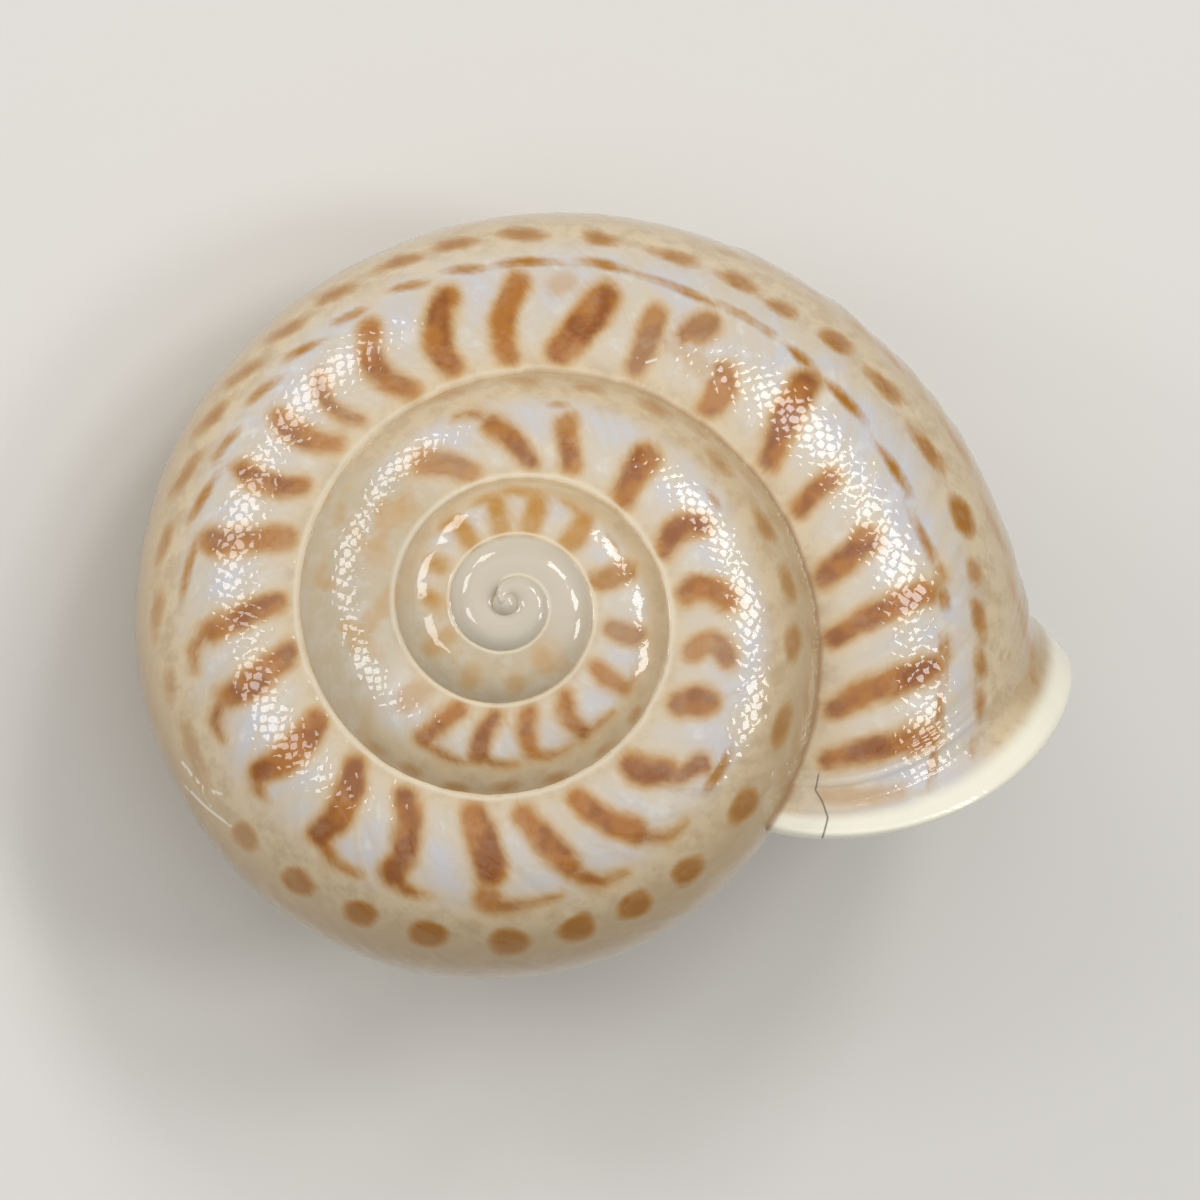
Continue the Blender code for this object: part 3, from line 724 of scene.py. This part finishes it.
shellLook = dict(
    cream="#D8C3A0",
    pearl="#D3C9B9",
    pearlBlue="#CDCBCD",
    pearlWhite="#E8E4DC",
    tip="#CDC2AE",
    plain="#C2B294",  # smooth early parts without flames
    lip="#F8F5E2",
    flame="#AF702D",
    flameDeep="#925626",
    flameEdge="#C1924A",
    halo="#D8BC90",  # pale rim round the flames
    dash="#B27E34",
    dashDeep="#A46C22",
    # tan of the outer band, made darker partly as painted shade where the whorl turns away from the light
    outerTanAndShade="#BFA57F",
    outerDark="#A98B62",
    base="#DCCCAE",
    inside="#E4D9C6",
    thread="#E8DCC4",  # raised line along the seam
    seamLine="#A07440",
    crack="#6B5D4C",
    scratch="#F2EBDC",
    edgeSoftMm=0.2,
    wobbleMm=0.1,
    granuleMm=(0.34, 0.31),  # along the whorl, across it
    granuleHighMm=0.0095,
    granuleLoose=0.38,  # 0 is an even grid of grains
    granuleTurn=0.5,  # the grid's slant, in radians
    crackHalfMm=0.025,
    scratchHalfMm=0.03,
    roughness=0.32,
    ior=1.53,
    specular=0.15,
    coatRoughness=0.06,
)


def mixColours(tree, factor, first, second):
    made = addNode(tree, "ShaderNodeMix", data_type="RGBA")
    for socket, source in ((0, factor), (6, first), (7, second)):
        if isinstance(source, str):
            source = linear(source)
        if isinstance(source, (int, float, tuple)):
            made.inputs[socket].default_value = source
        else:
            tree.links.new(source, made.inputs[socket])
    return made.outputs[2]


def calculate(tree, operation, first, second=0.0):
    made = addNode(tree, "ShaderNodeMath", operation=operation)
    for socket, source in enumerate((first, second)):
        if isinstance(source, (int, float)):
            made.inputs[socket].default_value = source
        else:
            tree.links.new(source, made.inputs[socket])
    return made.outputs[0]


def multiply(tree, first, second):
    return calculate(tree, "MULTIPLY", first, second)


def ramp(tree, value, low, high, toLow=0.0, toHigh=1.0):
    made = addNode(tree, "ShaderNodeMapRange", {1: low, 2: high, 3: toLow, 4: toHigh}, {0: value},
                   interpolation_type="SMOOTHSTEP")
    return made.outputs[0]


def attribute(tree, name):
    return addNode(tree, "ShaderNodeAttribute", attribute_name=name).outputs["Fac"]


def noise(tree, vector, scale, detail=2.0, roughness=0.5):
    values = {"Scale": scale, "Detail": detail, "Roughness": roughness}
    return addNode(tree, "ShaderNodeTexNoise", values, {"Vector": vector}).outputs["Fac"]


def stretched(tree, vector, x, y):
    return addNode(tree, "ShaderNodeMapping", {"Scale": (x, y, 1.0)}, {"Vector": vector}).outputs[0]


# mask of a fine line kept on the shell as its signed distance and its share of the length
def fineLine(tree, name, halfMm, softMm):
    across = calculate(tree, "ABSOLUTE", attribute(tree, name + "Mm"))
    share = attribute(tree, name + "Share")
    inside = multiply(tree, ramp(tree, share, -0.05, 0.03), ramp(tree, share, 0.97, 1.05, 1.0, 0.0))
    return multiply(tree, inside, ramp(tree, across, halfMm - softMm, halfMm + softMm, 1.0, 0.0))


def makeShellMaterial():
    # calcium carbonate under a thin glossy horny skin: gives the eye brown flames on pearly cream,
    # with a grainy shine
    look = shellLook
    material = bpy.data.materials.new("landSnailShell")
    material.use_nodes = True
    tree = material.node_tree
    surface = tree.nodes["Principled BSDF"]
    growthMm = addNode(tree, "ShaderNodeUVMap", uv_map="growth").outputs[0]
    skinMm = addNode(tree, "ShaderNodeUVMap", uv_map="skin").outputs[0]
    place = addNode(tree, "ShaderNodeTexCoord").outputs["Object"]
    perMm = (1.0 / mm, 1.0 / mm, 1.0 / mm)
    placeMm = addNode(tree, "ShaderNodeVectorMath", {1: perMm}, {0: place}, operation="MULTIPLY").outputs[0]
    turn = attribute(tree, "turn")
    seamMm = attribute(tree, "seamMm")
    edgeMm = attribute(tree, "edgeMm")
    outer = attribute(tree, "outerSide")

    # soft irregular edges for flames and dashes
    wobble = calculate(tree, "SUBTRACT", noise(tree, placeMm, 1.3, 2.0, 0.5), 0.5)
    fineWobble = calculate(tree, "SUBTRACT", noise(tree, stretched(tree, growthMm, 3.0, 1.2), 2.0, 1.0), 0.5)
    shift = calculate(tree, "ADD", multiply(tree, wobble, look["wobbleMm"] * 3.0),
                      multiply(tree, fineWobble, look["wobbleMm"]))
    soft = look["edgeSoftMm"]
    flameEdge = calculate(tree, "ADD", attribute(tree, "flameMm"), shift)
    flameMask = multiply(tree, ramp(tree, flameEdge, -soft, soft, 1.0, 0.0), attribute(tree, "flameTone"))
    dashEdge = calculate(tree, "ADD", attribute(tree, "dashMm"), multiply(tree, shift, 0.55))
    dashPart = ramp(tree, dashEdge, -0.5 * soft, 0.4 * soft, 1.0, 0.0)
    dashMask = multiply(tree, dashPart, attribute(tree, "dashTone"))
    mark = calculate(tree, "MAXIMUM", flameMask, dashMask)
    mark = multiply(tree, mark, ramp(tree, outer, 0.0, 1.0, 0.22, 1.0))
    cloudy = noise(tree, placeMm, 0.9, 2.0, 0.5)
    mottle = noise(tree, placeMm, 1.5, 3.0, 0.62)
    mark = multiply(tree, mark, ramp(tree, mottle, 0.3, 0.55, 0.86, 1.0))

    # ground: pearly face between the flames, cream beside the seam, tan darkening towards the outer edge
    # (the shell's own tan band, partly painted shade where the whorl turns away from the light), paler base
    streak = noise(tree, stretched(tree, growthMm, 2.5, 0.3), 1.0, 2.0, 0.6)
    share = attribute(tree, "seamShare")
    facePart = multiply(tree, ramp(tree, share, 0.0, 0.09), ramp(tree, share, 0.25, 0.36, 1.0, 0.0))
    facePart = multiply(tree, facePart, ramp(tree, streak, 0.25, 0.65, 0.6, 1.0))
    early = ramp(tree, turn, 1.98, 2.12, 1.0, 0.0)
    patch = multiply(tree, ramp(tree, turn, 2.9, 2.97), ramp(tree, turn, 3.13, 3.2, 1.0, 0.0))
    plain = calculate(tree, "MAXIMUM", early, multiply(tree, patch, 0.85))
    clouds = noise(tree, placeMm, 0.7, 1.0)
    blue = multiply(tree, ramp(tree, clouds, 0.35, 0.6), ramp(tree, share, 0.08, 0.18))
    pearl = mixColours(tree, blue, look["pearl"], look["pearlBlue"])
    pearl = mixColours(tree, ramp(tree, mottle, 0.48, 0.7, 0.0, 0.5), pearl, look["pearlWhite"])
    outerMottle = ramp(tree, mottle, 0.42, 0.7, 0.5, 0.0)
    outerTanAndShadeTone = mixColours(tree, outerMottle, look["outerTanAndShade"], look["outerDark"])
    # painted shade: the tan band grows darker towards the outer edge, partly the shell's own tan and partly
    # shade where the surface turns away from the light
    outerTanAndShadePart = multiply(tree, ramp(tree, edgeMm, -3.2, -0.8), ramp(tree, turn, 3.0, 3.9, 0.45, 1.0))
    creamTone = mixColours(tree, ramp(tree, mottle, 0.4, 0.66, 0.0, 0.45), look["cream"], look["outerDark"])
    ground = mixColours(tree, outerTanAndShadePart, creamTone, outerTanAndShadeTone)
    ground = mixColours(tree, ramp(tree, edgeMm, 0.3, 4.5, 0.0, 0.9), ground, look["base"])
    ground = mixColours(tree, facePart, ground, pearl)
    plainTone = mixColours(tree, ramp(tree, mottle, 0.42, 0.62, 0.0, 0.4), look["plain"], look["pearl"])
    plainTone = mixColours(tree, ramp(tree, cloudy, 0.5, 0.7, 0.0, 0.65), plainTone, look["flameEdge"])
    ground = mixColours(tree, plain, ground, plainTone)
    ground = mixColours(tree, ramp(tree, turn, 1.5, 1.8, 1.0, 0.0), ground, look["tip"])
    lipMm = attribute(tree, "lipMm")
    ground = mixColours(tree, ramp(tree, lipMm, 0.75, 1.3, 0.9, 0.0), ground, look["lip"])
    halo = multiply(tree, ramp(tree, flameEdge, -soft, 2.5 * soft, 0.6, 0.0), attribute(tree, "flameTone"))
    ground = mixColours(tree, halo, ground, look["halo"])
    thread = attribute(tree, "threadPart")
    ground = mixColours(tree, multiply(tree, thread, 0.75), ground, look["thread"])
    ground = mixColours(tree, ramp(tree, outer, 0.0, 1.0, 1.0, 0.0), ground, look["inside"])
    brown = mixColours(tree, ramp(tree, cloudy, 0.38, 0.6), look["flameDeep"], look["flame"])
    gold = calculate(tree, "MAXIMUM", ramp(tree, flameEdge, -0.3, 0.1),
                     ramp(tree, attribute(tree, "flameTone"), 0.5, 1.0, 0.8, 0.0))
    gold = calculate(tree, "MAXIMUM", gold, ramp(tree, turn, 2.3, 2.7, 0.85, 0.0))
    brown = mixColours(tree, gold, brown, look["flameEdge"])
    dashBrown = mixColours(tree, ramp(tree, dashEdge, -0.16, -0.04), look["dashDeep"], look["dash"])
    brown = mixColours(tree, ramp(tree, dashEdge, 0.0, 0.1, 1.0, 0.0), brown, dashBrown)
    mark = multiply(tree, mark, ramp(tree, lipMm, 0.9, 1.6))
    mark = multiply(tree, mark, ramp(tree, thread, 0.2, 1.0, 1.0, 0.25))
    colour = mixColours(tree, mark, ground, brown)

    # fine dark line at the last part of the seam, crack by the lip, scratches
    seamLine = multiply(tree, ramp(tree, seamMm, 0.03, 0.2, 0.8, 0.0), ramp(tree, turn, 4.1, 4.45))
    seamLine = multiply(tree, seamLine, ramp(tree, outer, 0.5, 1.0))
    colour = mixColours(tree, seamLine, colour, look["seamLine"])
    crack = fineLine(tree, "crack", look["crackHalfMm"], 0.02)
    scratch = fineLine(tree, "scratch", look["scratchHalfMm"], 0.03)
    colour = mixColours(tree, multiply(tree, crack, 0.85), colour, look["crack"])
    colour = mixColours(tree, multiply(tree, scratch, 0.8), colour, look["scratch"])

    # skin: fine round grains in slanting rows, fading at the tip and towards the outer edge
    slanted = addNode(tree, "ShaderNodeMapping", {"Rotation": (0.0, 0.0, look["granuleTurn"])},
                      {"Vector": skinMm}).outputs[0]
    grid = stretched(tree, slanted, 1.0 / look["granuleMm"][0], 1.0 / look["granuleMm"][1])
    grains = addNode(tree, "ShaderNodeTexVoronoi", {"Scale": 1.0, "Randomness": look["granuleLoose"]},
                     {"Vector": grid}, voronoi_dimensions="2D").outputs["Distance"]
    grainPart = multiply(tree, ramp(tree, turn, 2.1, 2.5), ramp(tree, edgeMm, -2.6, -1.2, 1.0, 0.0))
    grainPart = multiply(tree, grainPart, ramp(tree, outer, 0.5, 1.0, 0.0, 1.0))
    domes = ramp(tree, multiply(tree, grains, grains), 0.0, 0.5, 1.0, 0.0)
    grainPart = multiply(tree, grainPart, ramp(tree, thread, 0.0, 0.5, 1.0, 0.1))
    height = multiply(tree, domes, grainPart)
    height = calculate(tree, "ADD", height, multiply(tree, cloudy, ramp(tree, turn, 2.1, 2.6, 5.0, 0.0)))
    height = calculate(tree, "SUBTRACT", height, multiply(tree, crack, 2.0))
    bump = addNode(tree, "ShaderNodeBump", {"Strength": 1.0, "Distance": look["granuleHighMm"] * mm},
                   {"Height": height})
    tree.links.new(colour, surface.inputs["Base Color"])
    tree.links.new(bump.outputs[0], surface.inputs["Coat Normal"])
    surface.inputs["Roughness"].default_value = look["roughness"]
    surface.inputs["IOR"].default_value = look["ior"]
    surface.inputs["Specular IOR Level"].default_value = look["specular"]
    surface.inputs["Coat Weight"].default_value = 1.0
    surface.inputs["Coat Roughness"].default_value = look["coatRoughness"]
    return material


snailShell.data.materials.append(makeShellMaterial())
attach(snailShell, "root")
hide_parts("shell")


navelPad = dict(sizeMm=(2.6, 2.4, 0.9), atMm=(0.15, 0.1, -11.2), tiltDeg=33.0, colour="#DDD0B8")
firstBud = dict(sizeMm=(0.36, 0.36, 0.36), atMm=(-0.1, -0.06, -0.46), tiltDeg=0.0)  # where the spiral begins
padLook = dict(roughness=0.3, ior=1.55, subsurface=0.12, subsurfaceMm=0.5, coat=0.7, coatRoughness=0.12)


def buildPad(name, pad):
    bm = bmesh.new()
    bmesh.ops.create_uvsphere(bm, u_segments=64, v_segments=40, radius=mm)
    bmesh.ops.scale(bm, vec=pad["sizeMm"], verts=bm.verts[:])
    tilt = Matrix.Rotation(math.radians(pad["tiltDeg"]), 3, "Y")
    bmesh.ops.rotate(bm, cent=(0.0, 0.0, 0.0), matrix=tilt, verts=bm.verts[:])
    bmesh.ops.translate(bm, vec=Vector(pad["atMm"]) * mm, verts=bm.verts[:])
    laidSpots = layDown(np.array([vertex.co for vertex in bm.verts]))
    for vertex, spot in zip(bm.verts, laidSpots):
        vertex.co = spot
    mesh = bpy.data.meshes.new(name)
    bm.to_mesh(mesh)
    bm.free()
    mesh.shade_smooth()
    made = bpy.data.objects.new(name, mesh)
    bpy.context.scene.collection.objects.link(made)
    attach(made, "root")
    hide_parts("shell")
    return made


def makePadMaterial(name, colour):
    # smooth thick shell without its skin: gives the eye a glossy porcelain white
    material = bpy.data.materials.new(name)
    material.use_nodes = True
    surface = material.node_tree.nodes["Principled BSDF"]
    surface.inputs["Base Color"].default_value = linear(colour)
    surface.inputs["Roughness"].default_value = padLook["roughness"]
    surface.inputs["IOR"].default_value = padLook["ior"]
    surface.inputs["Subsurface Weight"].default_value = padLook["subsurface"]
    surface.inputs["Subsurface Radius"].default_value = (1.0, 0.75, 0.5)
    surface.inputs["Subsurface Scale"].default_value = padLook["subsurfaceMm"] * mm
    surface.inputs["Coat Weight"].default_value = padLook["coat"]
    surface.inputs["Coat Roughness"].default_value = padLook["coatRoughness"]
    return material


buildPad("navelPad", navelPad).data.materials.append(makePadMaterial("navelPad", navelPad["colour"]))
buildPad("firstBud", firstBud).data.materials.append(makePadMaterial("firstBud", shellLook["tip"]))
print("looks ready")


stage = dict(
    floor="#E4E2DD",
    floorMm=1600.0,
    sky="#F6F5F3",
    skyStrength=0.3,
    frameMm=33.55,  # width of the view at the point it aims at
    awayMm=600.0,
    aimMm=(2.55, -0.05),  # from the tip, to the right and up in the view
    depthMm=5.0,
)


def buildStage():
    bm = bmesh.new()
    bmesh.ops.create_grid(bm, x_segments=1, y_segments=1, size=0.5 * stage["floorMm"] * mm)
    mesh = bpy.data.meshes.new("floor")
    bm.to_mesh(mesh)
    bm.free()
    floor = bpy.data.objects.new("floor", mesh)
    bpy.context.scene.collection.objects.link(floor)
    material = bpy.data.materials.new("floor")
    material.use_nodes = True
    surface = material.node_tree.nodes["Principled BSDF"]
    surface.inputs["Base Color"].default_value = linear(stage["floor"])
    surface.inputs["Roughness"].default_value = 0.8
    surface.inputs["Specular IOR Level"].default_value = 0.2
    mesh.materials.append(material)
    world = bpy.data.worlds.new("studio")
    world.use_nodes = True
    sky = world.node_tree.nodes["Background"]
    sky.inputs["Color"].default_value = linear(stage["sky"])
    sky.inputs["Strength"].default_value = stage["skyStrength"]
    bpy.context.scene.world = world


def viewAxes():  # right, up and towards the camera
    tilt = math.radians(markings["lookTiltDeg"])
    lean = math.radians(markings["lookLeanDeg"])
    turnDown = Vector(rest["down"]).rotation_difference(Vector((0.0, 0.0, -1.0))).to_matrix()
    right = Vector((math.cos(lean), math.sin(lean) * math.sin(tilt), -math.sin(lean) * math.cos(tilt)))
    up = Vector((0.0, math.cos(tilt), math.sin(tilt)))
    return turnDown @ right, turnDown @ up, turnDown @ right.cross(up)


def buildCamera():
    right, up, back = viewAxes()
    tip = Vector(layDown(np.zeros((1, 3)))[0])
    aim = tip + (right * stage["aimMm"][0] + up * stage["aimMm"][1] - back * stage["depthMm"]) * mm
    data = bpy.data.cameras.new("camera")
    data.sensor_width = 36.0
    data.lens = data.sensor_width * stage["awayMm"] / stage["frameMm"]
    data.clip_start = 0.01
    data.clip_end = 10.0
    camera = bpy.data.objects.new("camera", data)
    bpy.context.scene.collection.objects.link(camera)
    axes = Matrix((right, up, back)).transposed().to_4x4()
    camera.matrix_world = Matrix.Translation(aim + back * stage["awayMm"] * mm) @ axes
    bpy.context.scene.camera = camera
    return aim, right, up, back


# soft boxes: metres to the right, up and towards the camera; the way the long side runs; size and watts
lamps = dict(
    leftLow=((-0.20, 0.05, 0.25), (0.2, 0.8, -0.5), (0.075, 0.07), 0.115),
    left=((-0.22, 0.16, 0.17), (0.08, 0.74, -0.52), (0.075, 0.07), 0.115),
    leftHigh=((-0.16, 0.25, 0.13), (0.3, 0.7, -0.4), (0.075, 0.07), 0.115),
    rightLow=((0.27, -0.01, 0.20), (-0.1, 0.6, 0.1), (0.075, 0.07), 0.15),
    right=((0.22, 0.11, 0.21), (-0.4, 0.6, 0.18), (0.075, 0.07), 0.15),
    rightHigh=((0.16, 0.20, 0.21), (-0.4, 0.6, 0.18), (0.075, 0.07), 0.15),
    above=((0.03, 0.08, 0.40), (0.0, 1.0, 0.0), (0.55, 0.55), 0.6),
)


def buildLamps(aim, right, up, back):
    for name, (where, along, size, watts) in lamps.items():
        data = bpy.data.lights.new(name, "AREA")
        data.shape = "RECTANGLE"
        data.size = size[0]
        data.size_y = size[1]
        data.energy = watts
        lamp = bpy.data.objects.new(name, data)
        bpy.context.scene.collection.objects.link(lamp)
        offset = right * where[0] + up * where[1] + back * where[2]
        away = offset.normalized()
        longSide = right * along[0] + up * along[1] + back * along[2]
        across = longSide.cross(away).normalized()
        axes = Matrix((across, away.cross(across), away)).transposed().to_4x4()
        lamp.matrix_world = Matrix.Translation(aim + offset) @ axes


buildStage()
buildLamps(*buildCamera())
bpy.context.scene.view_settings.view_transform = "Standard"
print("stage ready")
